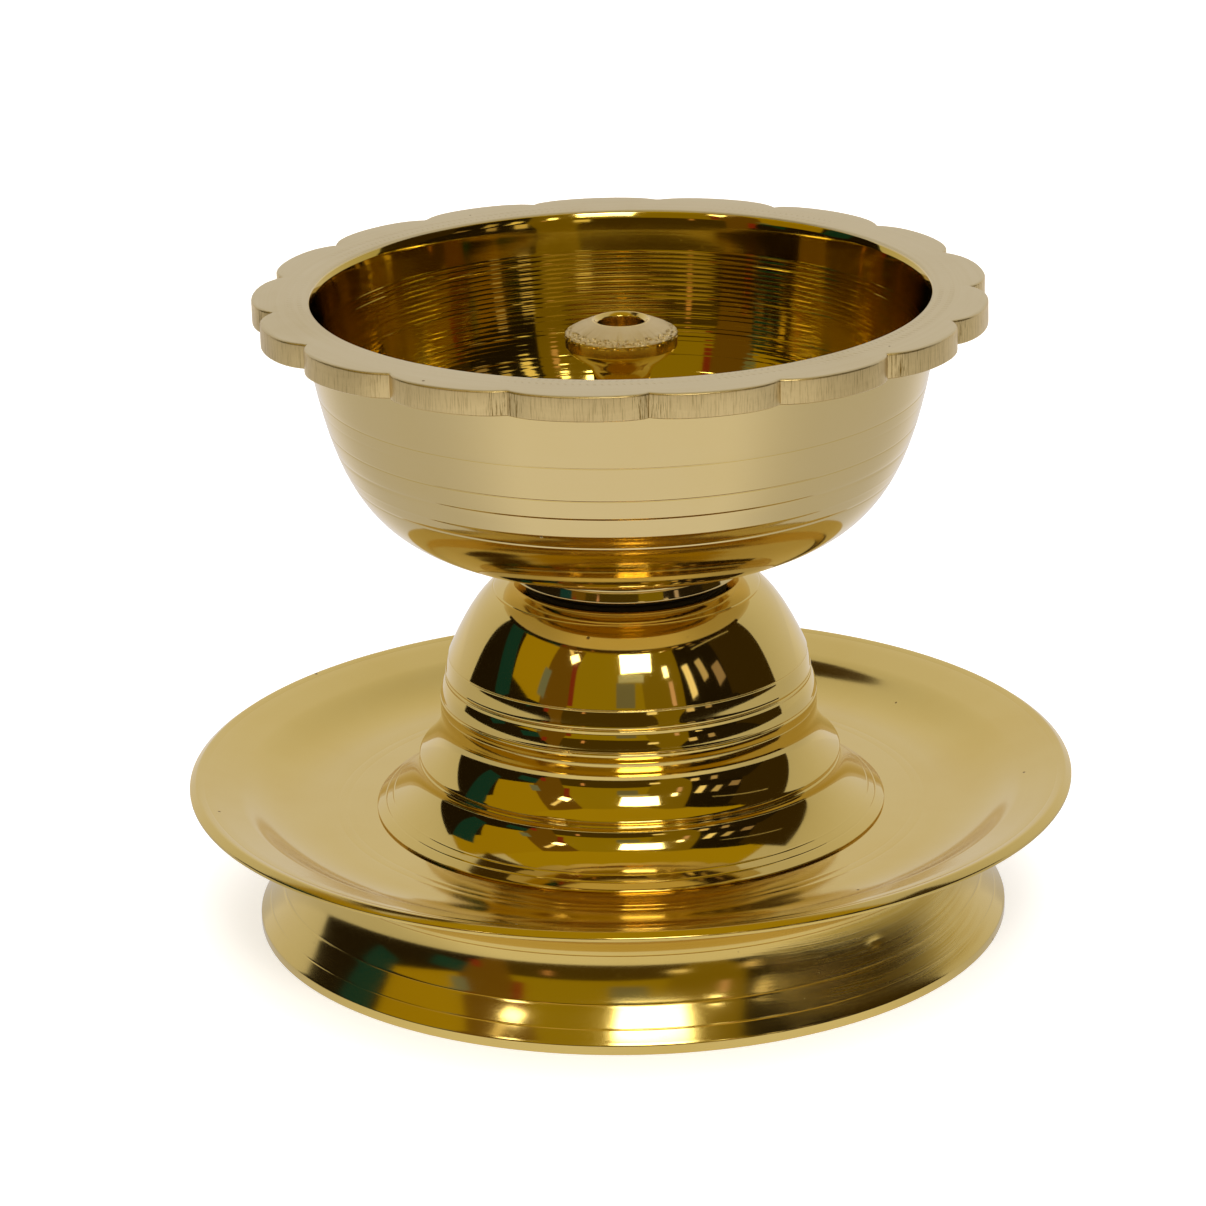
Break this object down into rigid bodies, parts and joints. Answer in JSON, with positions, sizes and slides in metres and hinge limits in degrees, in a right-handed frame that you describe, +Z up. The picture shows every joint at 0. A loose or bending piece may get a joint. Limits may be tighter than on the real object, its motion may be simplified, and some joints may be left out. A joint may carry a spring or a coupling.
{
  "type": "diya oil lamp",
  "caption": "Brass oil lamp: scalloped bowl with an upright wick holder, screwed onto a domed pedestal in a footed drip dish.",
  "frame": {"origin": "on the table at the centre of the foot ring", "axes": "+Z up along the lamp's turning axis, towards the bowl; -Y towards the viewer of the usual front view"},
  "size_m": [0.102, 0.102, 0.0744],
  "materials": {
    "polished_brass": "polished cast brass with fine lathe rings",
    "bright_brass": "bright turned bar brass",
    "black_rubber": "matt black sheet rubber"
  },
  "bodies": {
    "stand": {"base_plate": "polished_brass", "pedestal": "polished_brass", "tie_stud": "bright_brass", "tie_washer": "bright_brass", "tie_nut": "bright_brass"},
    "seat_ring": {"seat_washer": "black_rubber"},
    "cup": {"bowl": "polished_brass"},
    "seal_ring": {"oil_seal": "black_rubber"},
    "holder": {"wick_holder": "bright_brass"}
  },
  "joints": [
    {"name": "bowl_rise", "type": "slide", "parent": "stand", "child": "seat_ring", "axis": [0, 0, 1], "range_m": [0, 0.004]},
    {"name": "bowl_turn", "type": "hinge", "parent": "seat_ring", "child": "cup", "pos_m": [0, 0, 0.0414], "axis": [0, 0, 1], "range_deg": [0, 1440]},
    {"name": "wick_rise", "type": "slide", "parent": "cup", "child": "seal_ring", "axis": [0, 0, 1], "range_m": [0, 0.00385]},
    {"name": "wick_turn", "type": "hinge", "parent": "seal_ring", "child": "holder", "pos_m": [0, 0, 0.0514], "axis": [0, 0, 1], "range_deg": [0, 1980]}
  ],
  "couplings": [
    {"joint": "bowl_turn", "follows": "bowl_rise", "rad_per_m": 6283.2},
    {"joint": "wick_turn", "follows": "wick_rise", "rad_per_m": 8976}
  ]
}
